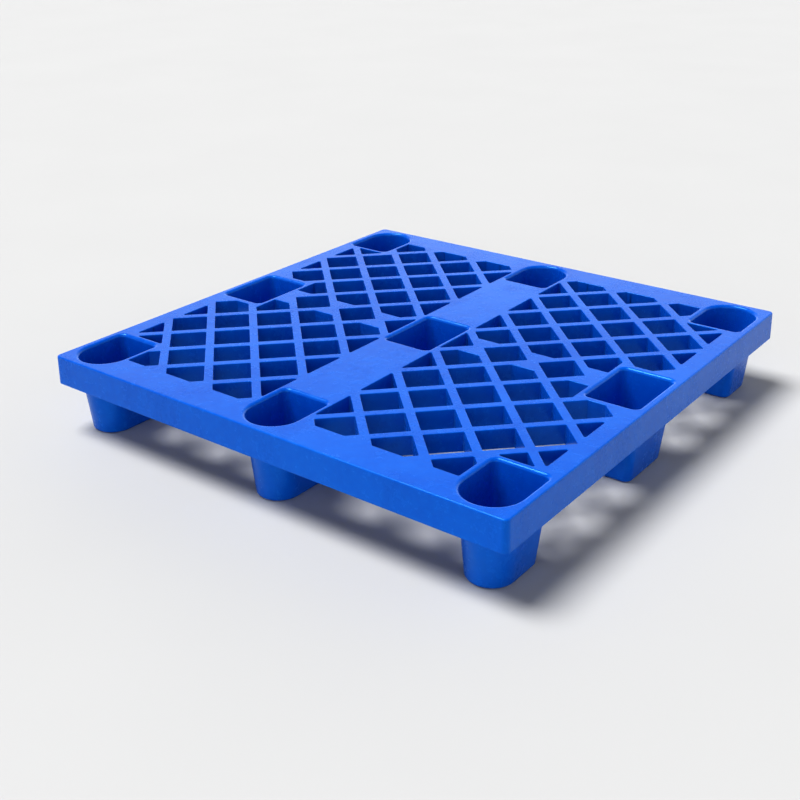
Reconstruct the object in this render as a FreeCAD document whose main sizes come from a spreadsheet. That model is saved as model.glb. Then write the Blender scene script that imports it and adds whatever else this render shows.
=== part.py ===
"""Nestable nine-leg grid pallet, 1000 x 1000 x 150 mm.

The pallet is one injection moulding. It is built here as the members that the moulding is
made of: skirt walls, deck rails, centre band, cross bands, diamond grid panels and cup legs.
Neighbouring members meet face to face.

Frame: origin on the floor under the middle of the pallet, +Z up, front side at -Y, mm.
"""
import math
import os

import FreeCAD
import Part
import Sketcher

DRIVING_SIZES = {
    # outside of the pallet, over the lower edge of the skirt
    "pallet_length": 1000,
    "pallet_width": 1000,
    "pallet_height": 150,
    # skirt round the edge
    "skirt_depth": 55,
    "skirt_flare": 2,
    "skirt_wall": 3.5,
    "edge_radius": 5,
    "corner_radius": 10,
    "skirt_lip": 10,
    # deck plate and the ribs under it
    "deck_plate": 3.5,
    "web_depth": 35.5,
    "web_wall": 2.5,
    "rail_web_spacing": 60,
    # diamond grid, ribs at 45 degrees
    "rib_spacing": 83.7,
    "rib_width": 16.3,
    # solid bands and the limits of the open grid
    "band_width": 120,
    "cross_patch_width": 70,
    "grid_length": 922,
    "grid_width": 862,
    # deck plates round the legs
    "leg_plate_inner_x": 370.5,
    "leg_plate_inner_y": 341.5,
    "middle_plate_width": 175,
    # cup legs, measured at deck height on the outside of the cup
    "leg_row_x": 432,
    "leg_width": 108,
    "middle_leg_length": 152,
    "end_leg_nose": 485.5,
    "end_leg_inner": 348,
    "leg_wall": 3.5,
    "leg_floor": 4,
    "leg_draft": 5,
    "leg_corner": 15,
    "foot_radius": 6,
    "lip_radius": 6.5,
}

# smaller remains of an opening, in square millimetres, stay closed
SMALLEST_OPENING = 250.0
CELLS_PER_SIDE = 9
# plan of the mitred block that takes one side out of the skirt ring
MITRE_MARGIN = 5.0
MITRE_DEPTH = 60.0
SIDES = {"front": (0, -1), "back": (0, 1), "left": (-1, 0), "right": (1, 0)}

doc = FreeCAD.newDocument("grid_pallet")
sheet = doc.addObject("Spreadsheet::Sheet", "Sheet")
for row, (alias, number) in enumerate(DRIVING_SIZES.items(), start=1):
    sheet.set("A%d" % row, alias)
    sheet.set("B%d" % row, str(number))
    sheet.setAlias("B%d" % row, alias)
doc.recompute()

DECK_TOP = "Sheet.pallet_height"
PLATE_BOTTOM = "Sheet.pallet_height - Sheet.deck_plate"
WEB_BOTTOM = "Sheet.pallet_height - Sheet.web_depth"
BAND_EDGE = "Sheet.band_width / 2"
PATCH_EDGE = "Sheet.cross_patch_width / 2"
GRID_X = "Sheet.grid_length / 2"
GRID_Y = "Sheet.grid_width / 2"
DECK_X = "(Sheet.pallet_length / 2 - Sheet.skirt_lip)"
DECK_Y = "(Sheet.pallet_width / 2 - Sheet.skirt_lip)"
WEB_X = "(Sheet.pallet_length / 2 - Sheet.skirt_flare - Sheet.skirt_wall / 2)"
WEB_Y = "(Sheet.pallet_width / 2 - Sheet.skirt_flare - Sheet.skirt_wall / 2)"
MIDDLE_PLATE_Y = "Sheet.middle_plate_width / 2"
CELL_STEP = "Sheet.rib_spacing / sqrt(2)"
OPENING_SIDE = "(Sheet.rib_spacing - Sheet.rib_width)"
SLEEVE_SIDE = "(Sheet.rib_spacing - Sheet.rib_width + 2 * Sheet.web_wall)"
# the outermost opening beside a side leg is at this cell of the grid
TOE_COLUMN, TOE_ROW = 7, 2
TOE_X = "%d * %s" % (TOE_COLUMN, CELL_STEP)
TOE_Y = "%d * %s" % (TOE_ROW, CELL_STEP)
# openings that end at the line of a leg's plate, beside a corner leg and beside a side leg
BESIDE_CORNER_LEG = (7, 6)
BESIDE_SIDE_LEG = (6, 1)

parts = []


def size(alias):
    """Value of one driving size."""
    return float(sheet.get(alias))


def add_part(feature, label):
    """Make a feature one of the pallet's members, with the name it is known by."""
    feature.Label = label
    parts.append(feature)
    return feature


def span(sign, near, far):
    """Lower and upper end of a stretch that runs from near to far on one side of the middle."""
    if sign > 0:
        return near, far
    return "-(%s)" % far, "-(%s)" % near


# ---------------------------------------------------------------- solids from blocks

def block(name, x_ends, y_ends, z_ends):
    """Box between three pairs of expressions."""
    box = doc.addObject("Part::Box", name)
    for side, axis, (low, high) in zip(("Length", "Width", "Height"), "xyz",
                                       (x_ends, y_ends, z_ends)):
        box.setExpression("Placement.Base." + axis, low)
        box.setExpression(side, "(%s) - (%s)" % (high, low))
    return box


def diamond(name, column, row, side, z_ends):
    """Square bar standing on end, turned 45 degrees, at one cell of the grid."""
    bar = doc.addObject("Part::Box", name)
    bar.setExpression("Length", side)
    bar.setExpression("Width", side)
    bar.setExpression("Height", "(%s) - (%s)" % (z_ends[1], z_ends[0]))
    bar.Placement.Rotation = FreeCAD.Rotation(FreeCAD.Vector(0, 0, 1), 45)
    bar.setExpression("Placement.Base.x", "%d * %s" % (column, CELL_STEP))
    bar.setExpression("Placement.Base.y", "%d * %s - %s / sqrt(2)" % (row, CELL_STEP, side))
    bar.setExpression("Placement.Base.z", z_ends[0])
    return bar


def fuse(name, shapes):
    """Union of some shapes."""
    if len(shapes) == 1:
        return shapes[0]
    joined = doc.addObject("Part::MultiFuse", name)
    joined.Shapes = shapes
    joined.Refine = True
    return joined


def common(name, base, tool):
    """What two shapes share."""
    shared = doc.addObject("Part::Common", name)
    shared.Base = base
    shared.Tool = tool
    shared.Refine = True
    return shared


def cut(name, base, tool):
    """Base without the tool."""
    rest = doc.addObject("Part::Cut", name)
    rest.Base = base
    rest.Tool = tool
    rest.Refine = True
    return rest


# ---------------------------------------------------------------- sketches

def plane_of(body, role):
    """One of the body's own base planes."""
    return next(f for f in body.Origin.OriginFeatures if f.Role == role)


def new_body(name):
    """Empty body."""
    return doc.addObject("PartDesign::Body", name)


def new_sketch(body, name, height):
    """Empty sketch on a level plane at a height given as an expression."""
    sketch = body.newObject("Sketcher::SketchObject", name)
    sketch.AttachmentSupport = [(plane_of(body, "XY_Plane"), "")]
    sketch.MapMode = "FlatFace"
    sketch.setExpression("AttachmentOffset.Base.z", height)
    return sketch


def pin_edge(sketch, edge, axis, expression, value):
    """Hold a straight edge at a signed distance from the sketch's origin."""
    kind = "DistanceX" if axis == "x" else "DistanceY"
    number = sketch.addConstraint(Sketcher.Constraint(kind, -1, 1, edge, 1, value))
    sketch.setExpression("Constraints[%d]" % number, expression)


def rectangle(sketch, x_ends, y_ends):
    """Sharp rectangle between two pairs of expressions."""
    (x0, x1), (y0, y1) = [[evaluate(e) for e in ends] for ends in (x_ends, y_ends)]
    corners = [FreeCAD.Vector(*c, 0) for c in ((x0, y0), (x1, y0), (x1, y1), (x0, y1))]
    first = sketch.GeometryCount
    for i, corner in enumerate(corners):
        sketch.addGeometry(Part.LineSegment(corner, corners[(i + 1) % 4]), False)
    for i in range(4):
        sketch.addConstraint(Sketcher.Constraint("Coincident", first + i, 2,
                                                 first + (i + 1) % 4, 1))
        level = "Horizontal" if i % 2 == 0 else "Vertical"
        sketch.addConstraint(Sketcher.Constraint(level, first + i))
    pin_edge(sketch, first, "y", y_ends[0], y0)
    pin_edge(sketch, first + 1, "x", x_ends[1], x1)
    pin_edge(sketch, first + 2, "y", y_ends[1], y1)
    pin_edge(sketch, first + 3, "x", x_ends[0], x0)


def evaluate(expression):
    """Number that an expression on the sheet stands for."""
    return float(sheet.evalExpression(expression.replace("Sheet.", "")))


def rounded_outline(sketch, x_half, y_half, corner):
    """Closed oblong outline about the origin with four rounded corners."""
    half, reach, radius = evaluate(x_half), evaluate(y_half), evaluate(corner)
    vector = FreeCAD.Vector
    quarter = math.pi / 2

    def arc(x, y, start):
        circle = Part.Circle(vector(x, y, 0), vector(0, 0, 1), radius)
        return Part.ArcOfCircle(circle, start, start + quarter)

    x, y = half - radius, reach - radius
    loop = [Part.LineSegment(vector(half, -y, 0), vector(half, y, 0)), arc(x, y, 0),
            Part.LineSegment(vector(x, reach, 0), vector(-x, reach, 0)), arc(-x, y, quarter),
            Part.LineSegment(vector(-half, y, 0), vector(-half, -y, 0)),
            arc(-x, -y, 2 * quarter),
            Part.LineSegment(vector(-x, -reach, 0), vector(x, -reach, 0)),
            arc(x, -y, 3 * quarter)]
    sketch.addGeometry(loop, False)
    for i in range(len(loop)):
        sketch.addConstraint(Sketcher.Constraint("Tangent", i, 2, (i + 1) % len(loop), 1))
    for i in (1, 3, 5, 7):
        number = sketch.addConstraint(Sketcher.Constraint("Radius", i, radius))
        sketch.setExpression("Constraints[%d]" % number, corner)
    for i, level in ((0, "Vertical"), (2, "Horizontal"), (4, "Vertical")):
        sketch.addConstraint(Sketcher.Constraint(level, i))
    pin_edge(sketch, 0, "x", x_half, half)
    pin_edge(sketch, 2, "y", y_half, reach)
    pin_edge(sketch, 4, "x", "-(%s)" % x_half, -half)
    pin_edge(sketch, 6, "y", "-(%s)" % y_half, -reach)


def nosed_outline(sketch, x_half, y_ends):
    """Closed outline with one square end and, at the lower end, one half circle."""
    half, low, high = evaluate(x_half), evaluate(y_ends[0]), evaluate(y_ends[1])
    vector = FreeCAD.Vector
    circle = Part.Circle(vector(0, low + half, 0), vector(0, 0, 1), half)
    loop = [Part.LineSegment(vector(half, low + half, 0), vector(half, high, 0)),
            Part.LineSegment(vector(half, high, 0), vector(-half, high, 0)),
            Part.LineSegment(vector(-half, high, 0), vector(-half, low + half, 0)),
            Part.ArcOfCircle(circle, math.pi, 2 * math.pi)]
    sketch.addGeometry(loop, False)
    for i, joint in enumerate(("Coincident", "Coincident", "Tangent", "Tangent")):
        sketch.addConstraint(Sketcher.Constraint(joint, i, 2, (i + 1) % 4, 1))
    for i, level in ((0, "Vertical"), (1, "Horizontal"), (2, "Vertical")):
        sketch.addConstraint(Sketcher.Constraint(level, i))
    pin_edge(sketch, 0, "x", x_half, half)
    pin_edge(sketch, 1, "y", y_ends[1], high)
    pin_edge(sketch, 2, "x", "-(%s)" % x_half, -half)
    number = sketch.addConstraint(Sketcher.Constraint("DistanceY", -1, 1, 3, 3, low + half))
    sketch.setExpression("Constraints[%d]" % number, "(%s) + (%s)" % (y_ends[0], x_half))


def pad(body, sketch, depth, taper=None):
    """Solid that hangs down from a sketch."""
    feature = body.newObject("PartDesign::Pad", sketch.Name + "_pad")
    feature.Profile = sketch
    feature.Reversed = True
    feature.setExpression("Length", depth)
    if taper:
        feature.setExpression("TaperAngle", taper)
    doc.recompute()
    return feature


def pocket(body, sketch, depth, taper=None):
    """Hollow sunk down from a sketch."""
    feature = body.newObject("PartDesign::Pocket", sketch.Name + "_pocket")
    feature.Profile = sketch
    feature.Reversed = False
    feature.setExpression("Length", depth)
    if taper:
        feature.setExpression("TaperAngle", taper)
    before = body.Shape.Volume
    doc.recompute()
    if not feature.Shape.Volume < before:
        raise RuntimeError(sketch.Name + " cuts nothing")
    return feature


def round_edges(body, base, name, radius, wanted):
    """Fillet the edges of the last feature that a test picks out."""
    picked = ["Edge%d" % i for i, edge in enumerate(base.Shape.Edges, start=1) if wanted(edge)]
    fillet = body.newObject("PartDesign::Fillet", name)
    fillet.Base = (base, picked)
    fillet.setExpression("Radius", radius)
    doc.recompute()
    return fillet


def level_at(height):
    """Test for edges that lie in the level plane at a height."""
    def test(edge):
        box = edge.BoundBox
        return abs(box.ZMin - height) < 0.01 and abs(box.ZMax - height) < 0.01
    return test


# ---------------------------------------------------------------- skirt

def skirt_ring():
    """The whole skirt: flared wall, rounded upper edge and the lip that meets the deck."""
    body = new_body("skirt_ring")
    flare = "atan(Sheet.skirt_flare / Sheet.skirt_depth)"
    half_x = "(Sheet.pallet_length / 2 - Sheet.skirt_flare)"
    half_y = "(Sheet.pallet_width / 2 - Sheet.skirt_flare)"
    outside = new_sketch(body, "skirt_outside", DECK_TOP)
    rounded_outline(outside, half_x, half_y, "Sheet.corner_radius")
    shell = pad(body, outside, "Sheet.skirt_depth", flare)
    shell = round_edges(body, shell, "skirt_top_edge", "Sheet.edge_radius",
                        level_at(size("pallet_height")))
    inside = new_sketch(body, "skirt_inside", PLATE_BOTTOM)
    rounded_outline(inside, "(%s - Sheet.skirt_wall)" % half_x,
                    "(%s - Sheet.skirt_wall)" % half_y, "Sheet.corner_radius - Sheet.skirt_wall")
    pocket(body, inside, "Sheet.skirt_depth - Sheet.deck_plate", flare)
    middle = new_sketch(body, "skirt_middle", DECK_TOP)
    rectangle(middle, ("-" + DECK_X, DECK_X), ("-" + DECK_Y, DECK_Y))
    pocket(body, middle, "Sheet.deck_plate")
    return body


def skirt_side(ring, side):
    """One side of the skirt, mitred at both corners."""
    x_sign, y_sign = SIDES[side]
    body = new_body(side + "_skirt_reach")
    sketch = new_sketch(body, side + "_skirt_mitre", DECK_TOP)
    reach_x = size("pallet_length") / 2 + MITRE_MARGIN
    reach_y = size("pallet_width") / 2 + MITRE_MARGIN
    inner_x, inner_y = reach_x - MITRE_DEPTH, reach_y - MITRE_DEPTH
    if x_sign:
        plan = [(x_sign * reach_x, -reach_y), (x_sign * reach_x, reach_y),
                (x_sign * inner_x, inner_y), (x_sign * inner_x, -inner_y)]
    else:
        plan = [(-reach_x, y_sign * reach_y), (reach_x, y_sign * reach_y),
                (inner_x, y_sign * inner_y), (-inner_x, y_sign * inner_y)]
    points = [FreeCAD.Vector(x, y, 0) for x, y in plan]
    for i, point in enumerate(points):
        sketch.addGeometry(Part.LineSegment(point, points[(i + 1) % 4]), False)
        if i:
            sketch.addConstraint(Sketcher.Constraint("Coincident", i - 1, 2, i, 1))
    sketch.addConstraint(Sketcher.Constraint("Coincident", 3, 2, 0, 1))
    pad(body, sketch, "Sheet.skirt_depth")
    return add_part(common(side + "_skirt_cut", ring, body), side + "_skirt")


# ---------------------------------------------------------------- deck between the legs

def grid_region(x_sign, y_sign):
    """Plan of one quarter of the open grid: the field, then what is taken out of it.

    The deck plates of the corner leg and of the side leg stand in the field, and so does the
    toe, a small triangle that the outermost opening beside the side leg cuts off.
    """
    beyond_x = "(%s + 1)" % GRID_X
    field = (span(x_sign, BAND_EDGE, GRID_X), span(y_sign, CELL_STEP, GRID_Y))
    corner = (span(x_sign, "Sheet.leg_plate_inner_x", beyond_x),
              span(y_sign, "Sheet.leg_plate_inner_y", "(%s + 1)" % GRID_Y))
    middle = (span(x_sign, "Sheet.leg_plate_inner_x", beyond_x),
              span(y_sign, "(%s - 1)" % CELL_STEP, MIDDLE_PLATE_Y))
    toe = (span(x_sign, TOE_X, beyond_x), span(y_sign, MIDDLE_PLATE_Y, TOE_Y))
    return field, (corner, middle, toe)


def flat_face(x_ends, y_ends):
    """Level rectangle used to measure how much of an opening is left."""
    (x0, x1), (y0, y1) = [[evaluate(e) for e in ends] for ends in (x_ends, y_ends)]
    return Part.makePlane(x1 - x0, y1 - y0, FreeCAD.Vector(x0, y0, 0))


def cells_in(region, x_sign, y_sign):
    """Grid cells that keep a worthwhile opening inside the region."""
    field, taken = region
    plan = flat_face(*field)
    for ends in taken[:2]:
        plan = plan.cut(flat_face(*ends))
    step, half = evaluate(CELL_STEP), evaluate(OPENING_SIDE + " / sqrt(2)")
    found = []
    for column in range(1, CELLS_PER_SIDE + 1):
        for row in range(1, CELLS_PER_SIDE + 1):
            if (column + row) % 2 == 0:
                continue
            x, y = x_sign * column * step, y_sign * row * step
            tips = [(x + half, y), (x, y + half), (x - half, y), (x, y - half), (x + half, y)]
            opening = Part.Face(Part.makePolygon([FreeCAD.Vector(*tip, 0) for tip in tips]))
            if opening.common(plan).Area > SMALLEST_OPENING:
                found.append((x_sign * column, y_sign * row))
    return found


def sleeve(name, column, row):
    """Bar whose outside is the web round one opening."""
    return diamond(name + "_sleeve", column, row, SLEEVE_SIDE, (WEB_BOTTOM, DECK_TOP))


def opening(name, column, row):
    """Bar that cuts one opening right through the deck."""
    return diamond(name + "_opening", column, row, OPENING_SIDE,
                   (WEB_BOTTOM + " - 1", DECK_TOP + " + 1"))


def grid_panel(name, x_sign, y_sign):
    """Open diamond grid: flat ribs with a thin web hanging down along each opening."""
    region = grid_region(x_sign, y_sign)
    field, taken = region
    notches = [block("%s_notch_%d" % (name, i), *ends, (WEB_BOTTOM, DECK_TOP))
               for i, ends in enumerate(taken)]
    outline = cut(name + "_outline", block(name + "_field", *field, (WEB_BOTTOM, DECK_TOP)),
                  fuse(name + "_notches", notches))
    cells = cells_in(region, x_sign, y_sign)
    sleeves = [sleeve("%s_%d" % (name, i), *cell) for i, cell in enumerate(cells)]
    openings = [opening("%s_%d" % (name, i), *cell) for i, cell in enumerate(cells)]
    reaches = {
        BESIDE_CORNER_LEG: (field[0], span(y_sign, CELL_STEP, "Sheet.leg_plate_inner_y")),
        BESIDE_SIDE_LEG: (span(x_sign, BAND_EDGE, "Sheet.leg_plate_inner_x"), field[1]),
    }
    for (column, row), ends in reaches.items():
        number = cells.index((x_sign * column, y_sign * row))
        reach = block("%s_reach_%d" % (name, number), *ends,
                      (WEB_BOTTOM + " - 1", DECK_TOP + " + 1"))
        openings[number] = common("%s_short_%d" % (name, number), openings[number], reach)
    plate = block(name + "_plate", *field, (PLATE_BOTTOM, DECK_TOP))
    blank = common(name + "_blank", outline, fuse(name + "_body", [plate] + sleeves))
    return add_part(cut(name + "_cut", blank, fuse(name + "_openings", openings)), name)


def cross_band(name, x_sign):
    """Row of three whole diamonds from the centre leg to a side leg.

    The diamonds of the rows on both sides are cut off short of the middle line, which leaves
    closed patches of deck between the whole ones.
    """
    x_ends = span(x_sign, BAND_EDGE, "Sheet.leg_plate_inner_x")
    y_ends = ("-" + CELL_STEP, CELL_STEP)
    z_ends = (WEB_BOTTOM, DECK_TOP)
    open_z = (WEB_BOTTOM + " - 1", DECK_TOP + " + 1")
    reach = block(name + "_reach", x_ends, y_ends, z_ends)
    body = [block(name + "_plate", x_ends, y_ends, (PLATE_BOTTOM, DECK_TOP))]
    whole = [(x_sign * column, 0) for column in (1, 3, 5)]
    short = [(x_sign * column, row) for column in (2, 4, 6) for row in (-1, 1)]
    body += [sleeve("%s_%d" % (name, i), *cell) for i, cell in enumerate(whole + short)]
    outer_rows = []
    for sign in (-1, 1):
        web = span(sign, "(%s - Sheet.web_wall)" % PATCH_EDGE, PATCH_EDGE)
        body.append(block("%s_web_%d" % (name, sign + 1), x_ends, web, z_ends))
        outer_rows.append(block("%s_outer_row_%d" % (name, sign + 1), x_ends,
                                span(sign, PATCH_EDGE, CELL_STEP), open_z))
    whole_cuts = [opening("%s_whole_%d" % (name, i), *cell) for i, cell in enumerate(whole)]
    short_cuts = [opening("%s_short_%d" % (name, i), *cell) for i, cell in enumerate(short)]
    shortened = common(name + "_shortened", fuse(name + "_rows", outer_rows),
                       fuse(name + "_short_cuts", short_cuts))
    blank = common(name + "_blank", reach, fuse(name + "_body", body))
    openings = fuse(name + "_openings", whole_cuts + [shortened])
    return add_part(cut(name + "_cut", blank, openings), name)


def centre_band(name, y_sign):
    """Closed strip of deck between the centre leg and an end leg, a tray with crossed ribs."""
    x_ends = ("-(%s)" % BAND_EDGE, BAND_EDGE)
    y_ends = span(y_sign, MIDDLE_PLATE_Y, "Sheet.leg_plate_inner_y")
    z_ends = (WEB_BOTTOM, PLATE_BOTTOM)
    reach = block(name + "_reach", x_ends, y_ends, z_ends)
    plate = block(name + "_plate", x_ends, y_ends, (PLATE_BOTTOM, DECK_TOP))
    ribs = []
    length = evaluate("Sheet.pallet_length")
    for lean in (45, -45):
        for crossing in range(1, 4):
            rib = doc.addObject("Part::Box", "%s_rib_%d_%d" % (name, lean + 45, crossing))
            rib.Length = length
            rib.setExpression("Width", "Sheet.web_wall")
            rib.setExpression("Height", "(%s) - (%s)" % (PLATE_BOTTOM, WEB_BOTTOM))
            turn = FreeCAD.Rotation(FreeCAD.Vector(0, 0, 1), lean)
            start = turn.multVec(FreeCAD.Vector(-length / 2, -size("web_wall") / 2, 0))
            rib.Placement = FreeCAD.Placement(start, turn)
            rib.Placement.Base.y += y_sign * 2 * crossing * evaluate(CELL_STEP)
            rib.setExpression("Placement.Base.z", WEB_BOTTOM)
            ribs.append(rib)
    crossed = common(name + "_crossed", reach, fuse(name + "_ribs", ribs))
    webs = [block("%s_web_%d" % (name, sign + 1),
                  span(sign, "(%s - Sheet.web_wall)" % BAND_EDGE, BAND_EDGE), y_ends, z_ends)
            for sign in (-1, 1)]
    return add_part(fuse(name + "_fuse", [plate, crossed] + webs), name)


def rail(name, side, ring, along_sign):
    """Closed strip of deck along one edge, with webs that reach across to the skirt wall."""
    x_sign, y_sign = SIDES[side]
    if y_sign:
        start, stop = BAND_EDGE, "Sheet.leg_plate_inner_x"
        inner, deck_end, web_end, across = GRID_Y, DECK_Y, WEB_Y, y_sign
    else:
        start, stop = MIDDLE_PLATE_Y, "Sheet.leg_plate_inner_y"
        inner, deck_end, web_end, across = GRID_X, DECK_X, WEB_X, x_sign
    along = span(along_sign, start, stop)

    def strip(tag, along_ends, across_ends, z_ends):
        ends = (along_ends, across_ends) if y_sign else (across_ends, along_ends)
        return block(name + tag, *ends, z_ends)

    pieces = [strip("_plate", along, span(across, inner, deck_end), (PLATE_BOTTOM, DECK_TOP)),
              strip("_web", along, span(across, inner, "(%s + Sheet.web_wall)" % inner),
                    (WEB_BOTTOM, DECK_TOP))]
    room = evaluate(stop) - evaluate(start)
    count = int(room // size("rail_web_spacing"))
    for number in range(1, count + 1):
        middle = "((%s) + ((%s) - (%s)) * %d / %d)" % (start, stop, start, number, count + 1)
        ends = span(along_sign, middle + " - Sheet.web_wall / 2", middle + " + Sheet.web_wall / 2")
        pieces.append(strip("_rib_%d" % number, ends, span(across, inner, web_end),
                            (WEB_BOTTOM, PLATE_BOTTOM)))
    tool = ring
    if x_sign:
        cell = (x_sign * TOE_COLUMN, along_sign * TOE_ROW)
        toe = (span(x_sign, TOE_X, GRID_X), span(along_sign, MIDDLE_PLATE_Y, TOE_Y))
        pieces.append(block(name + "_toe", *toe, (PLATE_BOTTOM, DECK_TOP)))
        toe_reach = block(name + "_toe_reach", *toe, (WEB_BOTTOM, DECK_TOP))
        pieces.append(common(name + "_toe_web", toe_reach, sleeve(name, *cell)))
        tool = fuse(name + "_cuts", [ring, opening(name, *cell)])
    blank = fuse(name + "_blank", pieces)
    return add_part(cut(name + "_cut", blank, tool), name)


# ---------------------------------------------------------------- legs

def cup_outline(sketch, x_half, y_ends, nose):
    """Outline of a cup with sharp corners: one end is a half circle where nose is set."""
    if nose:
        nosed_outline(sketch, x_half, y_ends)
    else:
        rectangle(sketch, ("-(%s)" % x_half, x_half), y_ends)


def leaning_corner(x_half, y_ends, nose):
    """Test for the upright corner edges of a tapered cup, each found by its middle point."""
    half, low, high = evaluate(x_half), evaluate(y_ends[0]), evaluate(y_ends[1])
    top, lean = size("pallet_height"), math.tan(math.radians(size("leg_draft")))

    def test(edge):
        middle = edge.valueAt((edge.FirstParameter + edge.LastParameter) / 2)
        inset = (top - middle.z) * lean
        ends = [high - inset] if nose else [high - inset, low + inset]
        upright = edge.BoundBox.ZLength > top / 2
        on_side = abs(abs(middle.x) - (half - inset)) < 0.1
        return upright and on_side and min(abs(middle.y - end) for end in ends) < 0.1

    return test


def cup(body, name, y_ends, nose):
    """Tapered cup leg with a rounded foot, a hollow inside and a rounded mouth in the deck.

    The upright corners keep one radius over their whole height.
    """
    half = "Sheet.leg_width / 2"
    outside = new_sketch(body, name + "_outside", DECK_TOP)
    cup_outline(outside, half, y_ends, nose)
    pad(body, outside, "Sheet.pallet_height", "-Sheet.leg_draft")
    hollow = new_sketch(body, name + "_hollow", DECK_TOP)
    inner_half = "(%s - Sheet.leg_wall)" % half
    inner_ends = ("(%s) + Sheet.leg_wall" % y_ends[0], "(%s) - Sheet.leg_wall" % y_ends[1])
    cup_outline(hollow, inner_half, inner_ends, nose)
    solid = pocket(body, hollow, "Sheet.pallet_height - Sheet.leg_floor", "-Sheet.leg_draft")
    solid = round_edges(body, solid, name + "_hollow_corners",
                        "Sheet.leg_corner - Sheet.leg_wall",
                        leaning_corner(inner_half, inner_ends, nose))
    solid = round_edges(body, solid, name + "_corners", "Sheet.leg_corner",
                        leaning_corner(half, y_ends, nose))
    solid = round_edges(body, solid, name + "_foot", "Sheet.foot_radius", level_at(0))
    half_now = evaluate(half)
    low, high = evaluate(y_ends[0]), evaluate(y_ends[1])
    on_top = level_at(size("pallet_height"))

    def at_mouth(edge):
        box = edge.BoundBox
        inside = box.XMin > -half_now and box.XMax < half_now and box.YMin > low and box.YMax < high
        return on_top(edge) and inside

    return round_edges(body, solid, name + "_mouth", "Sheet.lip_radius", at_mouth)


def leg(name, x_sign, y_sign):
    """One cup leg with the deck plate round its mouth and the webs under that plate.

    The body is drawn with its nose towards -Y and then turned to its place.
    """
    body = new_body(name)
    end = y_sign != 0
    turned = y_sign > 0
    local_x = -x_sign if turned else x_sign
    # the plate, in the body's own axes, with the leg's middle on x = 0
    if x_sign:
        near = "(Sheet.leg_plate_inner_x - Sheet.leg_row_x)"
        far = "(%s - Sheet.leg_row_x)" % DECK_X
        x_ends = span(local_x, near, far)
        side_web_ends = [span(local_x, near, "(%s + Sheet.web_wall)" % near)]
    else:
        x_ends = ("-(%s)" % BAND_EDGE, BAND_EDGE)
        side_web_ends = [span(sign, "(%s - Sheet.web_wall)" % BAND_EDGE, BAND_EDGE)
                         for sign in (-1, 1)]
    if end:
        y_ends = ("-" + DECK_Y, "-Sheet.leg_plate_inner_y")
        cup_ends = ("-Sheet.end_leg_nose", "-Sheet.end_leg_inner")
    else:
        y_ends = ("-(%s)" % MIDDLE_PLATE_Y, MIDDLE_PLATE_Y)
        cup_ends = ("-Sheet.middle_leg_length / 2", "Sheet.middle_leg_length / 2")
    plate = new_sketch(body, name + "_plate", DECK_TOP)
    rectangle(plate, x_ends, y_ends)
    pad(body, plate, "Sheet.deck_plate")
    side_webs = new_sketch(body, name + "_side_webs", PLATE_BOTTOM)
    for ends in side_web_ends:
        rectangle(side_webs, ends, y_ends)
    pad(body, side_webs, "Sheet.web_depth - Sheet.deck_plate")
    if x_sign:
        end_webs = new_sketch(body, name + "_end_webs", PLATE_BOTTOM)
        rectangle(end_webs, x_ends, ("%s - Sheet.web_wall" % y_ends[1], y_ends[1]))
        if not end:
            rectangle(end_webs, x_ends, (y_ends[0], "%s + Sheet.web_wall" % y_ends[0]))
        pad(body, end_webs, "Sheet.web_depth - Sheet.deck_plate")
    cup(body, name, cup_ends, end)
    turn = FreeCAD.Rotation(FreeCAD.Vector(0, 0, 1), 180 if turned else 0)
    body.Placement = FreeCAD.Placement(FreeCAD.Vector(0, 0, 0), turn)
    if x_sign:
        body.setExpression("Placement.Base.x", "%d * Sheet.leg_row_x" % x_sign)
    return add_part(body, name)


# ---------------------------------------------------------------- assembly

ring = skirt_ring()
for side in SIDES:
    skirt_side(ring, side)

for side, (x_sign, y_sign) in SIDES.items():
    for along_sign in (-1, 1):
        if y_sign:
            end_name = "left" if along_sign < 0 else "right"
        else:
            end_name = "front" if along_sign < 0 else "back"
        rail("%s_rail_%s_half" % (side, end_name), side, ring, along_sign)

for y_name, y_sign in (("front", -1), ("back", 1)):
    centre_band(y_name + "_centre_band", y_sign)
    for x_name, x_sign in (("left", -1), ("right", 1)):
        grid_panel("%s_%s_grid_panel" % (y_name, x_name), x_sign, y_sign)

for x_name, x_sign in (("left", -1), ("right", 1)):
    cross_band(x_name + "_cross_band", x_sign)

for y_name, y_sign in (("front", -1), ("middle", 0), ("back", 1)):
    for x_name, x_sign in (("left", -1), ("centre", 0), ("right", 1)):
        leg("%s_%s_leg" % (y_name, x_name), x_sign, y_sign)

doc.recompute()

for feature in doc.Objects:
    if "Invalid" in feature.State or "Error" in feature.State:
        raise RuntimeError("%s did not build" % feature.Name)
for part in parts:
    if part.Shape.isNull() or not part.Shape.isValid() or not part.Shape.Solids:
        raise RuntimeError("%s has no valid solid" % part.Label)

os.makedirs("parts", exist_ok=True)
total = 0.0
for part in parts:
    part.Shape.exportStep("parts/%s.step" % part.Label)
    total += part.Shape.Volume
    print("%-28s solids %d volume %9.0f mm3" % (part.Label, len(part.Shape.Solids),
                                                 part.Shape.Volume))
print("%d members, %.2f litres of plastic" % (len(parts), total / 1e6))
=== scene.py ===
"""Nine-leg grid pallet, injection moulded in one blue plastic.

Each piece is a set of surfaces: an outline in plan, and a profile carried along it. A profile is
a row of (offset, height) pairs, and the offset is measured square to the outline, positive
outwards. Lengths are in metres, z is up and the front side is at -y.
"""

import bmesh
import bpy
import numpy as np
from mathutils import Matrix, Vector
from mathutils.geometry import delaunay_2d_cdt


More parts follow.
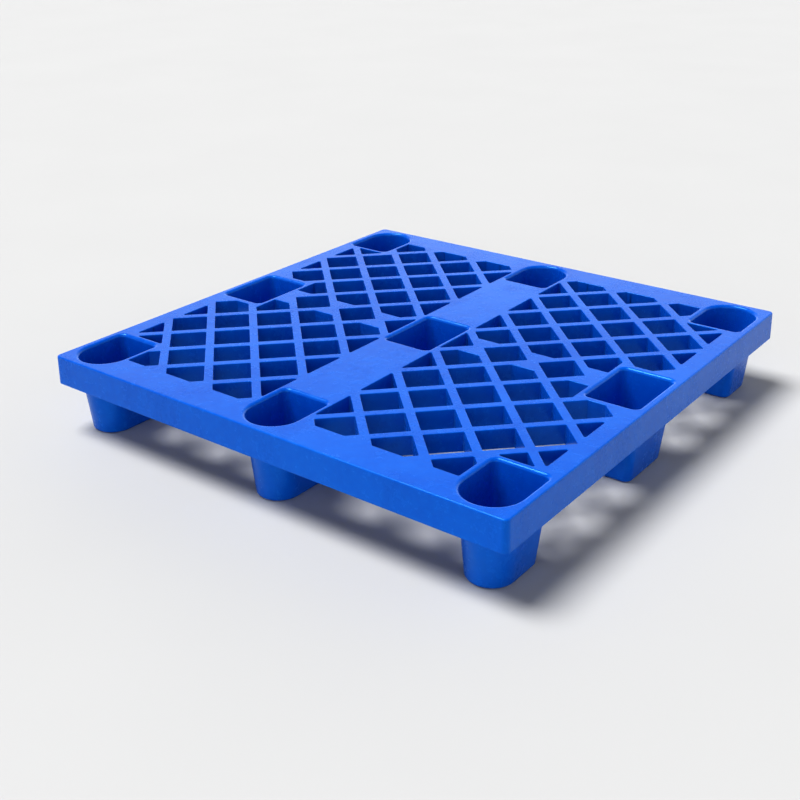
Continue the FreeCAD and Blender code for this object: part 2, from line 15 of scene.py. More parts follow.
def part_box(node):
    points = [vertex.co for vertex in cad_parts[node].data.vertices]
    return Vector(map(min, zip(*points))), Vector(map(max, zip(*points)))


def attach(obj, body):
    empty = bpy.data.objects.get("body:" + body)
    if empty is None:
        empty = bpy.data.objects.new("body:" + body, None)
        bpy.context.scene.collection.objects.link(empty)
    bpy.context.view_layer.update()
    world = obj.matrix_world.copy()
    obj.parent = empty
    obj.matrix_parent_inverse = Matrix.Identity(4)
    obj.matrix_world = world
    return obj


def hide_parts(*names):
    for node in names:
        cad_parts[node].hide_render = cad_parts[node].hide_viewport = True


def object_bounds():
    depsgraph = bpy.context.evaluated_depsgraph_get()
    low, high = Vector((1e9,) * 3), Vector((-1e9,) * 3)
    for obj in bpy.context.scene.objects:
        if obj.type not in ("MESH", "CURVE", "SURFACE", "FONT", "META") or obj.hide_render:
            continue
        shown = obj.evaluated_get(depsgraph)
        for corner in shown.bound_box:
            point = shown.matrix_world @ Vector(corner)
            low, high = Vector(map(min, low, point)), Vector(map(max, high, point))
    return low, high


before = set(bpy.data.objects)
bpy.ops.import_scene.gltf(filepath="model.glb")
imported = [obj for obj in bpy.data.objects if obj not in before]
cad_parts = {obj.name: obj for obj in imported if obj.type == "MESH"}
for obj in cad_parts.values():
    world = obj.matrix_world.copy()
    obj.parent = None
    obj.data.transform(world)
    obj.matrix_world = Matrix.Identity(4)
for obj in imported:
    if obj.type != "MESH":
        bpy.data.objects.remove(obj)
cad_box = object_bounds()

MM = 0.001

# ---------------------------------------------------------------- sizes, from the frame

panel_low, panel_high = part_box("back_right_grid_panel")
skirt_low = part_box("right_skirt")[0]
corner_low, corner_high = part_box("back_right_leg")
band_low, band_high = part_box("back_centre_band")
side_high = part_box("middle_right_leg")[1]

DECK_TOP = cad_box[1].z
HALF = cad_box[1].x
SKIRT_FOOT = skirt_low.z
WEB_FOOT = panel_low.z
GRID_X, GRID_Y = panel_high.x, panel_high.y
DECK_EDGE = corner_high.x
BAND_X = band_high.x
LEG_X, LEG_Y = corner_low.x, corner_low.y
SIDE_LEG_Y = side_high.y

PLATE = 3.5 * MM
PLATE_FOOT = DECK_TOP - PLATE
WEB = 2.2 * MM
FLARE = 2 * MM
SKIRT_WALL = 3.5 * MM
SKIRT_EDGE = 3 * MM
SKIRT_CORNER = 10 * MM
RIB_SPACING = 83.7 * MM
RIB_WIDTH = 16.3 * MM
RIB_STEP = RIB_SPACING / np.sqrt(2)
OPENING_HALF = (RIB_SPACING - RIB_WIDTH) / np.sqrt(2)
OPENING_CORNER = 2.2 * MM
OPENING_EDGE = 1.3 * MM
PATCH_Y = 35 * MM
PATCH_REACH = 44 * MM

LEG_ROW = 432 * MM
MOUTH_HALF = 57 * MM
MOUTH_MIDDLE = 79 * MM
MOUTH_NOSE = 488.5 * MM
MOUTH_INNER = 345 * MM
MOUTH_RIM = 3 * MM
LEG_WALL = 3.5 * MM
LEG_FLOOR = 4 * MM
LEG_DRAFT = np.radians(5)
LEG_CORNER = 15 * MM
MOUTH_CORNER = LEG_CORNER + MOUTH_RIM
LIP = 6.5 * MM
FOOT_EDGE = 6 * MM
FLOOR_FILLET = 1.5 * MM

OPENING_STEPS = 4
MOUTH_STEPS = 8
NOSE_STEPS = 24
SKIRT_STEPS = 8
SHARP_ANGLE = np.radians(40)
MERGE_DISTANCE = 0.004 * MM


# ---------------------------------------------------------------- outlines in plan

def rounded(corners, radius, steps):
    """Closed outline with every corner turned into an arc.

    At a corner the two edges leave along a and b. The arc's centre lies on their bisector, the
    radius over the sine of half the angle away, and the arc swings from the foot of its normal
    on one edge to the foot on the other: start * sin((1 - u) * turn) + end * sin(u * turn), over
    sin(turn), for u from 0 to 1. The radius shrinks where an edge is too short for it.
    """
    p = np.asarray(corners, float)
    before, after = np.roll(p, 1, 0) - p, np.roll(p, -1, 0) - p
    room = np.minimum(np.linalg.norm(before, axis=1), np.linalg.norm(after, axis=1))
    a = before / np.linalg.norm(before, axis=1)[:, None]
    b = after / np.linalg.norm(after, axis=1)[:, None]
    half = np.arccos(np.clip((a * b).sum(1), -1, 1)) / 2
    r = np.minimum(np.broadcast_to(radius, len(p)), 0.48 * room * np.tan(half))
    reach = r / np.tan(half)
    bisector = (a + b) / np.linalg.norm(a + b, axis=1)[:, None]
    centre = p + bisector * (r / np.sin(half))[:, None]
    start, end = p + a * reach[:, None] - centre, p + b * reach[:, None] - centre
    turn = np.pi - 2 * half
    u = np.linspace(0, 1, steps + 1)[None, :, None]
    turn = turn[:, None, None]
    arc = (np.sin((1 - u) * turn) * start[:, None] + np.sin(u * turn) * end[:, None]) / np.sin(turn)
    return (centre[:, None] + arc).reshape(-1, 2)


def parallel(outline, offset):
    """Outline moved square to itself by an offset, outwards for a counter-clockwise outline.

    Each point moves along the sum of its two edge normals over one plus their dot product, so
    straight edges stay parallel and arcs stay round.
    """
    edge = np.roll(outline, -1, 0) - outline
    normal = np.stack([edge[:, 1], -edge[:, 0]], 1) / np.linalg.norm(edge, axis=1)[:, None]
    last = np.roll(normal, 1, 0)
    mitre = (normal + last) / (1 + (normal * last).sum(1))[:, None]
    return outline + mitre * offset


def counter_clockwise(outline):
    """The same outline, turned round where its signed area is negative."""
    x, y = outline.T
    area = (x * np.roll(y, -1) - y * np.roll(x, -1)).sum()
    return outline if area > 0 else outline[::-1]


def clipped(corners, axis, limit, keep_above):
    """Part of a convex outline on one side of a line square to an axis."""
    kept = []
    for here, there in zip(corners, np.roll(corners, -1, 0)):
        inside = [(point[axis] >= limit) == keep_above for point in (here, there)]
        if inside[0]:
            kept.append(here)
        if inside[0] != inside[1]:
            t = (limit - here[axis]) / (there[axis] - here[axis])
            kept.append(here + t * (there - here))
    return np.array(kept)


# ---------------------------------------------------------------- surfaces

def arc_profile(centre, radius, first, last, steps):
    """Arc in a profile: centre + radius * (cos, sin) of an angle from first to last, degrees."""
    angle = np.radians(np.linspace(first, last, steps + 1))
    return np.stack([centre[0] + radius * np.cos(angle), centre[1] + radius * np.sin(angle)], 1)


def carried(outline, profile, closed_profile=False, open_path=None):
    """Surface of a profile carried along a closed outline.

    Point (i, j) is the outline moved square to itself by the profile's offset j, at the
    profile's height j. With open_path set, only those points of the outline are kept and the
    two cut ends are closed by flat faces.
    """
    rings = np.stack([parallel(outline, offset) for offset in profile[:, 0]], 1)
    heights = np.broadcast_to(profile[:, 1], rings.shape[:2])
    grid = np.concatenate([rings, heights[..., None]], 2)
    if open_path is not None:
        grid = grid[open_path]
    return skin(grid, open_path is None, closed_profile)


def skin(grid, wrap_path, wrap_profile):
    """Vertices and faces of a grid of points, wrapped in either direction, ends closed."""
    n, m = grid.shape[:2]
    number = np.arange(n * m).reshape(n, m)
    along = np.concatenate([number, number[:1]], 0) if wrap_path else number
    both = np.concatenate([along, along[:, :1]], 1) if wrap_profile else along
    quads = np.stack([both[:-1, :-1], both[1:, :-1], both[1:, 1:], both[:-1, 1:]], -1)
    faces = quads.reshape(-1, 4).tolist()
    if wrap_profile and not wrap_path:
        faces += [number[0].tolist(), number[-1][::-1].tolist()]
    return grid.reshape(-1, 3), faces


def floor_of(outline, height):
    """Level face that fills a convex outline: one triangle from every edge to the middle."""
    count = len(outline)
    ring = np.arange(count)
    points = np.concatenate([outline, [outline.mean(0)]])
    faces = np.stack([ring, np.roll(ring, -1), np.full(count, count)], 1)
    return np.concatenate([points, np.full((count + 1, 1), height)], 1), faces.tolist()


def sheet_between(loops, height):
    """Level face bounded by some loops: triangles whose middle is inside an odd number of them."""
    points = np.concatenate(loops) / MM
    lengths = [len(loop) for loop in loops]
    starts = np.cumsum([0] + lengths[:-1])
    edges = [(int(s + i), int(s + (i + 1) % n)) for s, n in zip(starts, lengths) for i in range(n)]
    made = delaunay_2d_cdt([Vector(p) for p in points], edges, [], 1, 1e-4)
    flat, triangles = np.array([tuple(v) for v in made[0]]), np.array(made[2])
    middle = flat[triangles].mean(1)
    inside = np.zeros(len(middle), bool)
    for s, n in zip(starts, lengths):
        x0, y0 = points[s:s + n].T
        x1, y1 = np.roll(x0, -1), np.roll(y0, -1)
        spans = (y0 > middle[:, 1:]) != (y1 > middle[:, 1:])
        with np.errstate(divide="ignore", invalid="ignore"):
            crossing = x0 + (middle[:, 1:] - y0) * (x1 - x0) / (y1 - y0)
        inside ^= ((spans & (middle[:, :1] < crossing)).sum(1) % 2).astype(bool)
    solid = np.concatenate([flat * MM, np.full((len(flat), 1), height)], 1)
    return solid, triangles[inside].tolist()


def bars(ends, thickness, top, foot):
    """Upright webs on straight lines in plan, each a strip with a rounded lower edge.

    ends holds (x0, y0, x1, y1) for every web. The profile runs down one face, round the lower
    edge on a half circle and up the other face, and is carried from one end to the other.
    """
    ends = np.asarray(ends, float).reshape(-1, 4)
    half = thickness / 2
    turn = arc_profile((0, foot + half), half, 180, 360, 6)
    profile = np.concatenate([[[-half, top]], turn, [[half, top]]])
    lines = ends.reshape(-1, 2, 2)
    way = lines[:, 1] - lines[:, 0]
    way /= np.linalg.norm(way, axis=1)[:, None]
    side = np.stack([-way[:, 1], way[:, 0]], 1)
    plan = lines[:, :, None, :] + side[:, None, None, :] * profile[None, None, :, :1]
    heights = np.broadcast_to(profile[:, 1], plan.shape[:3])
    grid = np.concatenate([plan, heights[..., None]], 3)
    return joined([skin(one, False, True) for one in grid])


def joined(surfaces):
    """One list of vertices and faces from several."""
    vertices, faces, count = [], [], 0
    for points, corners in surfaces:
        vertices.append(points)
        faces += [[v + count for v in face] for face in corners]
        count += len(points)
    return np.concatenate(vertices), faces


def flipped(surface, x_sign, y_sign):
    """Mirror image of a surface across the middle planes."""
    points, faces = surface
    return points * (x_sign, y_sign, 1), faces


def make_piece(name, surface, nodes):
    """Mesh object of a surface: seams closed, normals outwards, flats kept flat up to the arcs.

    The piece rides on the root body, takes the pallet's plastic and stands for some CAD nodes.
    """
    points, faces = surface
    mesh = bpy.data.meshes.new(name)
    mesh.from_pydata(points.tolist(), [], faces)
    work = bmesh.new()
    work.from_mesh(mesh)
    bmesh.ops.remove_doubles(work, verts=work.verts, dist=MERGE_DISTANCE)
    bmesh.ops.recalc_face_normals(work, faces=work.faces)
    loose = sum(1 for edge in work.edges if len(edge.link_faces) != 2)
    print("%-24s %6d faces, %d open edges" % (name, len(work.faces), loose))
    work.to_mesh(mesh)
    work.free()
    mesh.shade_smooth()
    mesh.set_sharp_from_angle(angle=SHARP_ANGLE)
    piece = bpy.data.objects.new(name, mesh)
    bpy.context.scene.collection.objects.link(piece)
    weighted = piece.modifiers.new("flat faces first", "WEIGHTED_NORMAL")
    weighted.keep_sharp = True
    mesh.materials.append(pallet_plastic)
    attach(piece, "root")
    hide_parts(*nodes)
    return piece


# ---------------------------------------------------------------- blue plastic

LIGHT_BLUE = (0.0005, 0.130, 0.630)
MIDDLE_BLUE = (0.0003, 0.102, 0.560)
MOTTLE_BLUE = (0.0010, 0.154, 0.680)
FLOW_BLUE = (0.0002, 0.078, 0.490)
GLOSS_TINT = (0.20, 0.72, 0.80, 1)


def blue_plastic():
    """Satin blue polyethylene: cloudy colour, drawn-out flow marks, fine grain, soft scuffs."""
    material = bpy.data.materials.new("blue satin polyethylene")
    material.use_nodes = True
    nodes, links = material.node_tree.nodes, material.node_tree.links
    nodes.clear()

    def add(kind, **values):
        node = nodes.new(kind)
        for key, value in values.items():
            setattr(node, key, value)
        return node

    def noise(scale, detail, roughness=0.5, stretch=(1, 1, 1)):
        mapping = add("ShaderNodeMapping")
        mapping.inputs["Scale"].default_value = stretch
        links.new(place.outputs["Object"], mapping.inputs["Vector"])
        node = add("ShaderNodeTexNoise")
        node.inputs["Scale"].default_value = scale
        node.inputs["Detail"].default_value = detail
        node.inputs["Roughness"].default_value = roughness
        links.new(mapping.outputs["Vector"], node.inputs["Vector"])
        return node.outputs["Fac"]

    def ramp(factor, low, high, first, last):
        node = add("ShaderNodeMapRange")
        for socket, value in (("From Min", low), ("From Max", high), ("To Min", first),
                              ("To Max", last)):
            node.inputs[socket].default_value = value
        links.new(factor, node.inputs["Value"])
        return node.outputs["Result"]

    def mix(factor, first, second):
        node = add("ShaderNodeMix", data_type="RGBA")
        links.new(factor, node.inputs["Factor"])
        for socket, value in (("A", first), ("B", second)):
            target = [s for s in node.inputs if s.name == socket and s.type == "RGBA"][0]
            if isinstance(value, tuple):
                target.default_value = value + (1,)
            else:
                links.new(value, target)
        return [s for s in node.outputs if s.type == "RGBA"][0]

    def total(first, second, operation="ADD"):
        node = add("ShaderNodeMath", operation=operation)
        for socket, value in zip(node.inputs, (first, second)):
            if isinstance(value, float):
                socket.default_value = value
            else:
                links.new(value, socket)
        return node.outputs["Value"]

    place = add("ShaderNodeTexCoord")
    clouds = noise(5.0, 3.0, 0.55)
    mottle = noise(70.0, 4.0, 0.6)
    flow = noise(16.0, 4.0, 0.6, (1.0, 1.0, 0.12))
    grain = noise(900.0, 2.0, 0.6)
    scuff = noise(14.0, 5.0, 0.7, (1.0, 9.0, 4.0))

    colour = mix(ramp(clouds, 0.35, 0.68, 0.0, 1.0), MIDDLE_BLUE, LIGHT_BLUE)
    colour = mix(ramp(mottle, 0.42, 0.72, 0.0, 0.45), colour, MOTTLE_BLUE)
    colour = mix(ramp(flow, 0.50, 0.72, 0.0, 0.40), colour, FLOW_BLUE)

    shine = total(ramp(mottle, 0.3, 0.7, 0.20, 0.30), ramp(flow, 0.4, 0.7, -0.03, 0.05))
    shine = total(shine, ramp(scuff, 0.56, 0.72, 0.0, 0.06))

    bump = add("ShaderNodeBump")
    bump.inputs["Strength"].default_value = 0.35
    bump.inputs["Distance"].default_value = 0.0006
    height = total(total(mottle, total(flow, 1.6, "MULTIPLY")), total(grain, 0.12, "MULTIPLY"))
    links.new(height, bump.inputs["Height"])

    shader = add("ShaderNodeBsdfPrincipled")
    shader.inputs["IOR"].default_value = 1.5
    shader.inputs["Specular IOR Level"].default_value = 0.5
    shader.inputs["Specular Tint"].default_value = GLOSS_TINT
    links.new(colour, shader.inputs["Base Color"])
    links.new(shine, shader.inputs["Roughness"])
    links.new(bump.outputs["Normal"], shader.inputs["Normal"])
    output = add("ShaderNodeOutputMaterial")
    links.new(shader.outputs["BSDF"], output.inputs["Surface"])
    return material


pallet_plastic = blue_plastic()


# ---------------------------------------------------------------- openings of the deck

def opening_outlines():
    """Outlines of the diamond openings in the right half of the deck.

    A whole opening is a square on its corner about (column, row) times the step, with column
    plus row odd. It ends at the lines of the band, of the rails and of the legs' plates.
    """
    ends_at = {(6, 1): (0, LEG_X, False), (7, 2): (1, SIDE_LEG_Y, True),
               (6, 7): (0, LEG_X, False), (7, 6): (1, LEG_Y, False)}
    closed = {(8, 1), (8, 7)}
    corner_steps = np.array([(1, 0), (0, 1), (-1, 0), (0, -1)]) * OPENING_HALF
    outlines = []
    for row in range(8):
        for column in range(1 + row % 2, 9, 2):
            if (column, row) in closed or (row == 0 and column > 5):
                continue
            shape = corner_steps + np.array([column, row]) * RIB_STEP
            shape = clipped(shape, 0, BAND_X, True)
            shape = clipped(shape, 0, GRID_X, False)
            shape = clipped(shape, 1, GRID_Y, False)
            if row == 1:
                shape = clipped(shape, 1, PATCH_Y, True)
            if (column, row) in ends_at:
                shape = clipped(shape, *ends_at[column, row])
            outline = counter_clockwise(rounded(shape, OPENING_CORNER, OPENING_STEPS))
            outlines.append(outline)
            if row:
                outlines.append(counter_clockwise(outline * (1, -1)))
    return outlines


def sleeve_profile():
    """Profile round an opening: rounded edge, face of the web, rounded foot, back of the web."""
    foot = 0.8 * MM
    root = 0.6 * MM
    top = arc_profile((OPENING_EDGE, DECK_TOP - OPENING_EDGE), OPENING_EDGE, 90, 180, 4)
    low = arc_profile((foot, WEB_FOOT + foot), foot, 180, 270, 3)
    high = arc_profile((WEB - foot, WEB_FOOT + foot), foot, 270, 360, 3)
    back = arc_profile((WEB + root, PLATE_FOOT - root), root, 180, 90, 3)
    return np.concatenate([top, low, high, back])


# ---------------------------------------------------------------- mouths of the legs

def mouth(x, y_sign, inset=0.0, corner=MOUTH_CORNER):
    """Outline of a leg's mouth at deck height: a rounded oblong, or one with a round nose.

    An inset draws the outline further in, with its own corner radius.
    """
    half = MOUTH_HALF - inset
    if y_sign == 0:
        corners = np.array([(1, 1), (-1, 1), (-1, -1), (1, -1)]) * (half, MOUTH_MIDDLE - inset)
        outline = rounded(corners, corner, MOUTH_STEPS)
    else:
        inner, centre = MOUTH_INNER + inset, MOUTH_HALF - MOUTH_NOSE
        corners = [(half, -inner), (-half, -inner), (-half, centre - half), (half, centre - half)]
        square_end = rounded(corners, corner, MOUTH_STEPS)[:2 * (MOUTH_STEPS + 1)]
        angle = np.pi + np.linspace(0, np.pi, NOSE_STEPS + 1)
        nose = np.stack([half * np.cos(angle), centre + half * np.sin(angle)], 1)
        outline = np.concatenate([square_end, nose]) * (1, -y_sign)
    return counter_clockwise(outline + (x, 0))


def cup_skin(x, y_sign, profile, start, corner):
    """Skin of a leg's profile, whose upright corners keep one radius over their whole height.

    The wall starts inside the mouth at deck height and moves inwards by the drop times the
    tangent of the draft. A profile point off the wall adds its distance to the radius.
    """
    wall = -(start + (DECK_TOP - profile[:, 1]) * np.tan(LEG_DRAFT))
    radius = np.minimum(corner + profile[:, 0] - wall, MOUTH_CORNER)
    rings = np.stack([mouth(x, y_sign, -offset, r) for offset, r in zip(profile[:, 0], radius)], 1)
    heights = np.broadcast_to(profile[:, 1], rings.shape[:2])
    points, faces = skin(np.concatenate([rings, heights[..., None]], 2), True, False)
    return (points, faces), rings


def leg_surface(x, y_sign):
    """Closed skin of one cup leg.

    The outer face runs from the deck's underside down to the rounded foot. The inner face runs
    from the mouth over the lip and down to the floor, one wall further in.
    """
    lean = np.tan(LEG_DRAFT)
    inset = MOUTH_RIM + LEG_WALL
    reach = np.tan((np.pi / 2 - LEG_DRAFT) / 2)
    degrees = np.degrees(LEG_DRAFT)
    lip = arc_profile((LIP * reach - inset, DECK_TOP - LIP), LIP, 90, 180 - degrees, 10)
    floor_edge = -(inset + (DECK_TOP - LEG_FLOOR) * lean + FLOOR_FILLET * reach)
    fillet = arc_profile((floor_edge, LEG_FLOOR + FLOOR_FILLET), FLOOR_FILLET, -degrees, -90, 4)
    foot_edge = -(MOUTH_RIM + DECK_TOP * lean + FOOT_EDGE * reach)
    foot = arc_profile((foot_edge, FOOT_EDGE), FOOT_EDGE, -90, -degrees, 8)
    top_of_wall = [[-(MOUTH_RIM + PLATE * lean), PLATE_FOOT]]
    inside = np.concatenate([[[0, DECK_TOP]], lip, fillet])
    outside = np.concatenate([foot, top_of_wall, [[0, PLATE_FOOT], [0, DECK_TOP]]])
    inner_skin, inner_rings = cup_skin(x, y_sign, inside, inset, LEG_CORNER - LEG_WALL)
    outer_skin, outer_rings = cup_skin(x, y_sign, outside, MOUTH_RIM, LEG_CORNER)
    return joined([inner_skin, outer_skin, floor_of(inner_rings[:, -1], LEG_FLOOR),
                   floor_of(outer_rings[:, 0], 0.0)])


# ---------------------------------------------------------------- skirt

def skirt_outline():
    """Square outline of the skirt's upper edge with rounded corners, from the front right one."""
    corners = np.array([(1, -1), (1, 1), (-1, 1), (-1, -1)]) * (HALF - FLARE)
    return rounded(corners, SKIRT_CORNER, SKIRT_STEPS)


def skirt_profile():
    """Closed profile of the skirt: a strip of deck, a rounded edge and a wall that flares out.

    The wall's outer face is the drop times the flare over the skirt's depth outside the upper
    edge, and its inner face is one wall further in.
    """
    lean = FLARE / (DECK_TOP - SKIRT_FOOT)
    tilt = np.arctan(lean)
    foot, root = 0.8 * MM, 2.0 * MM
    inner = DECK_EDGE - (HALF - FLARE)
    reach = SKIRT_EDGE * np.tan((np.pi / 2 - tilt) / 2)
    edge = arc_profile((-reach, DECK_TOP - SKIRT_EDGE), SKIRT_EDGE, 90, np.degrees(tilt), 8)
    low = FLARE - foot * lean
    outer_foot = arc_profile((low - foot, SKIRT_FOOT + foot), foot, 0, -90, 4)
    inner_foot = arc_profile((low - SKIRT_WALL + foot, SKIRT_FOOT + foot), foot, -90, -180, 4)
    top = (PLATE + root) * lean - SKIRT_WALL
    corner = arc_profile((top - root, PLATE_FOOT - root), root, 0, 90, 4)
    strip = [[inner, PLATE_FOOT], [inner, DECK_TOP]]
    return np.concatenate([edge, outer_foot, inner_foot, corner, strip])


def skirt_wall(turns):
    """One side of the skirt, mitred at both corners; turns counts sides from the right one."""
    outline = skirt_outline()
    first = SKIRT_STEPS // 2 + turns * (SKIRT_STEPS + 1)
    path = np.arange(first, first + SKIRT_STEPS + 2) % len(outline)
    return carried(outline, skirt_profile(), True, path)


# ---------------------------------------------------------------- deck

def by_angle(outline, falling):
    """Points of an outline with x above zero, in order of their angle about its middle."""
    half = outline[outline[:, 0] > -1e-9]
    angle = np.arctan2(half[:, 1] - outline[:, 1].mean(), half[:, 0])
    return half[np.argsort(-angle if falling else angle)]


def deck_outline():
    """Outline of the right half of the deck.

    It follows the outer edge, and towards the middle it steps round the mouths of the three
    legs of the centre row and along the edge of the band's middle strip.
    """
    edge = by_angle(parallel(skirt_outline(), DECK_EDGE - (HALF - FLARE)), False)
    mouths = [by_angle(mouth(0, y_sign), True) for y_sign in (1, 0, -1)]
    return np.concatenate([[(0, -DECK_EDGE)], edge, [(0, DECK_EDGE)]] + mouths)


def web_lines():
    """Straight webs under the closed parts of the right half, as (x0, y0, x1, y1)."""
    half, wall = WEB / 2, HALF - 4 * MM
    across = BAND_X + (LEG_X - BAND_X) * np.arange(1, 6) / 6
    upright = SIDE_LEG_Y + (LEG_Y - SIDE_LEG_Y) * np.arange(1, 5) / 5
    patches = np.array([2, 4, 6]) * RIB_STEP
    lines = [(BAND_X - half, -wall, BAND_X - half, wall),
             (LEG_X + half, -SIDE_LEG_Y, LEG_X + half, SIDE_LEG_Y)]
    for s in (-1, 1):
        lines += [(BAND_X, s * (GRID_Y + half), LEG_X, s * (GRID_Y + half)),
                  (GRID_X + half, s * SIDE_LEG_Y, GRID_X + half, s * LEG_Y),
                  (LEG_X + half, s * LEG_Y, LEG_X + half, s * wall),
                  (LEG_X, s * (LEG_Y + half), wall, s * (LEG_Y + half)),
                  (LEG_X, s * (SIDE_LEG_Y - half), wall, s * (SIDE_LEG_Y - half))]
        lines += [(x, s * GRID_Y, x, s * wall) for x in across]
        lines += [(GRID_X, s * y, wall, s * y) for y in upright]
        lines += [(x - PATCH_REACH, s * (PATCH_Y - half), min(x + PATCH_REACH, LEG_X),
                   s * (PATCH_Y - half)) for x in patches]
    return lines


def deck_half():
    """Right half of the deck: plate, a sleeve down each opening, and webs under the rails."""
    outline, openings, profile = deck_outline(), opening_outlines(), sleeve_profile()
    mouths = [mouth(LEG_ROW, y_sign) for y_sign in (-1, 0, 1)]
    edge = np.array([[0, DECK_TOP], [0, PLATE_FOOT]])
    top_holes = [parallel(opening, profile[0, 0]) for opening in openings]
    low_holes = [parallel(opening, profile[-1, 0]) for opening in openings]
    surfaces = [sheet_between([outline] + mouths + top_holes, DECK_TOP),
                sheet_between([outline] + mouths + low_holes, PLATE_FOOT)]
    surfaces += [carried(loop, edge) for loop in [outline] + mouths]
    surfaces += [carried(opening, profile) for opening in openings]
    surfaces.append(bars(web_lines(), WEB * 0.8, PLATE_FOOT + PLATE / 4, WEB_FOOT))
    return joined(surfaces)


def band_strip():
    """Back strip of the band between the mouths: a plate with crossed ribs under it."""
    x, low, high = MOUTH_HALF - MOUTH_CORNER, MOUTH_MIDDLE, MOUTH_INNER
    plate = np.array([(x, low), (x, high), (-x, high), (-x, low)])
    edge = np.array([[0, DECK_TOP], [0, PLATE_FOOT]])
    reach = BAND_X - WEB / 2
    ribs = []
    for crossing in (2 * RIB_STEP, 4 * RIB_STEP, 6 * RIB_STEP):
        for lean in (-1, 1):
            ends = np.clip([crossing - reach, crossing + reach], band_low.y, band_high.y)
            if ends[1] - ends[0] > WEB:
                across = lean * (ends - crossing)
                ribs.append((across[0], ends[0], across[1], ends[1]))
    return joined([sheet_between([plate], DECK_TOP), sheet_between([plate], PLATE_FOOT),
                   carried(plate, edge),
                   bars(ribs, WEB * 0.8, PLATE_FOOT + PLATE / 4, WEB_FOOT)])


right_half = deck_half()
for side, x_sign in (("right", 1), ("left", -1)):
    ends = ("front", "back")
    nodes = ["%s_%s_grid_panel" % (end, side) for end in ends] + [side + "_cross_band"]
    nodes += ["%s_rail_%s_half" % (side, end) for end in ends]
    nodes += ["%s_rail_%s_half" % (end, side) for end in ends]
    make_piece("deck_%s_half" % side, flipped(right_half, x_sign, 1), nodes)

strip = band_strip()
for end, y_sign in (("front", -1), ("back", 1)):
    make_piece("band_strip_" + end, flipped(strip, 1, y_sign), [end + "_centre_band"])

for turns, side in enumerate(("right", "back", "left", "front")):
    make_piece("skirt_wall_" + side, skirt_wall(turns), [side + "_skirt"])

for row, y_sign in (("front", -1), ("middle", 0), ("back", 1)):
    for column, x_sign in (("left", -1), ("centre", 0), ("right", 1)):
        name = "%s_%s" % (row, column)
        make_piece("cup_leg_" + name, leg_surface(x_sign * LEG_ROW, y_sign), [name + "_leg"])


# ---------------------------------------------------------------- floor, light and camera

FLOOR_TONES = (0.55, 0.57)
FLOOR_REACH = 12
OVERHEAD = (-0.35, -0.15, 0.92)
LOW_FRONT = (0.40, -0.87, 0.28)


def floor_material():
    """Pale matt studio floor with a faint unevenness."""
    material = bpy.data.materials.new("pale studio floor")
    material.use_nodes = True
    nodes, links = material.node_tree.nodes, material.node_tree.links
    shader = nodes["Principled BSDF"]
    place, cloud = nodes.new("ShaderNodeTexCoord"), nodes.new("ShaderNodeTexNoise")
    tone = nodes.new("ShaderNodeMix")
    tone.data_type = "RGBA"
    cloud.inputs["Scale"].default_value = 2.0
    links.new(place.outputs["Object"], cloud.inputs["Vector"])
    links.new(cloud.outputs["Fac"], tone.inputs["Factor"])
    for socket, value in zip([s for s in tone.inputs if s.type == "RGBA"], FLOOR_TONES):
        socket.default_value = (value, value, value, 1)
    links.new([s for s in tone.outputs if s.type == "RGBA"][0], shader.inputs["Base Color"])
    shader.inputs["Roughness"].default_value = 0.7
    shader.inputs["Specular IOR Level"].default_value = 0.2
    return material


def distant_light(name, way, strength, width):
    """Far soft light from the direction way, as wide in the sky as width degrees."""
    light = bpy.data.lights.new(name, "SUN")
    light.energy, light.angle = strength, np.radians(width)
    lamp = bpy.data.objects.new(name, light)
    lamp.rotation_euler = Vector(way).to_track_quat("Z", "Y").to_euler()
    bpy.context.scene.collection.objects.link(lamp)


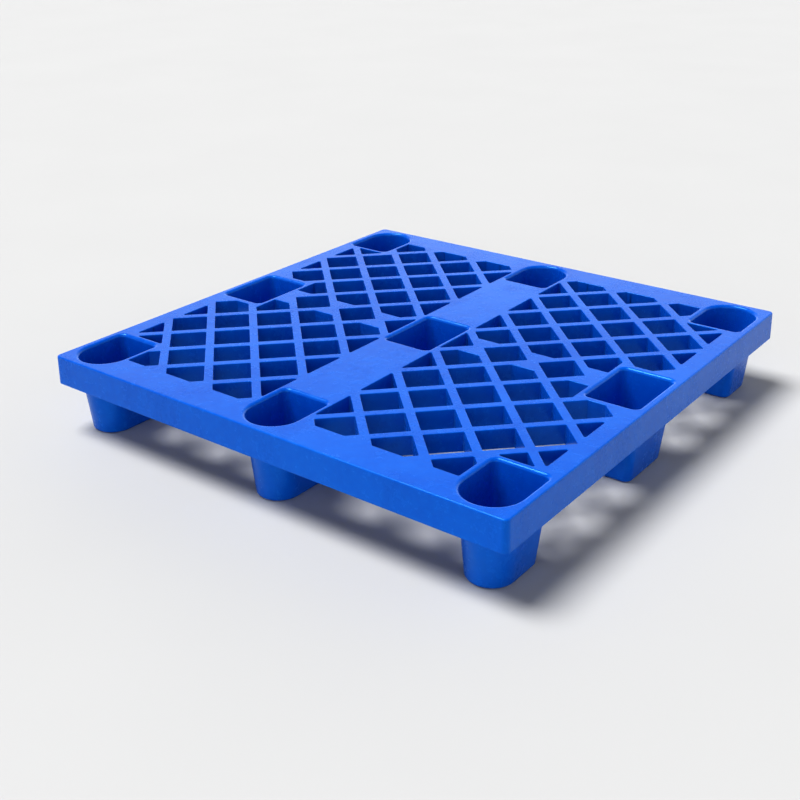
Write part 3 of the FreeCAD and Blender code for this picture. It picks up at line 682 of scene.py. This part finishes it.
def studio_room():
    """Surroundings: a pale wall all round, a dim ceiling, and a bright backdrop at +y."""
    world = bpy.data.worlds.new("white studio")
    world.use_nodes = True
    nodes, links = world.node_tree.nodes, world.node_tree.links
    way, split = nodes.new("ShaderNodeTexCoord"), nodes.new("ShaderNodeSeparateXYZ")
    links.new(way.outputs["Generated"], split.inputs["Vector"])

    def fade(axis, start, end, first, last):
        node = nodes.new("ShaderNodeMapRange")
        node.interpolation_type = "SMOOTHSTEP"
        for socket, value in (("From Min", start), ("From Max", end), ("To Min", first),
                              ("To Max", last)):
            node.inputs[socket].default_value = value
        links.new(split.outputs[axis], node.inputs["Value"])
        return node.outputs["Result"]

    backdrop = nodes.new("ShaderNodeMath")
    backdrop.operation = "MULTIPLY_ADD"
    links.new(fade("Y", 0.0, 0.6, 0.0, 0.65), backdrop.inputs[0])
    links.new(fade("Z", 0.40, 0.80, 1.0, 0.0), backdrop.inputs[1])
    links.new(fade("Z", 0.12, 0.50, 0.95, 0.12), backdrop.inputs[2])
    links.new(backdrop.outputs["Value"], nodes["Background"].inputs["Strength"])
    nodes["Background"].inputs["Color"].default_value = (1, 1, 1, 1)
    bpy.context.scene.world = world


floor_mesh = bpy.data.meshes.new("studio_floor")
floor_corners = [(x * FLOOR_REACH, y * FLOOR_REACH, 0)
                 for x, y in ((-1, -1), (1, -1), (1, 1), (-1, 1))]
floor_mesh.from_pydata(floor_corners, [], [(0, 1, 2, 3)])
floor_mesh.materials.append(floor_material())
floor = bpy.data.objects.new("studio_floor", floor_mesh)
bpy.context.scene.collection.objects.link(floor)

distant_light("overhead light", OVERHEAD, 4.1, 30)
distant_light("low front light", LOW_FRONT, 0.85, 60)
studio_room()
bpy.context.scene.view_settings.view_transform = "Standard"
bpy.context.scene.view_settings.gamma = 0.8

camera_data = bpy.data.cameras.new("camera")
camera_data.lens = 50.84
camera_data.sensor_width = 36
camera = bpy.data.objects.new("camera", camera_data)
camera.matrix_world = Matrix(((0.79492, -0.25157, 0.55211, 1.1988),
                              (0.60661, 0.34641, -0.71555, -1.6451),
                              (-0.01125, 0.90372, 0.42798, 0.9702),
                              (0, 0, 0, 1)))
bpy.context.scene.collection.objects.link(camera)
bpy.context.scene.camera = camera
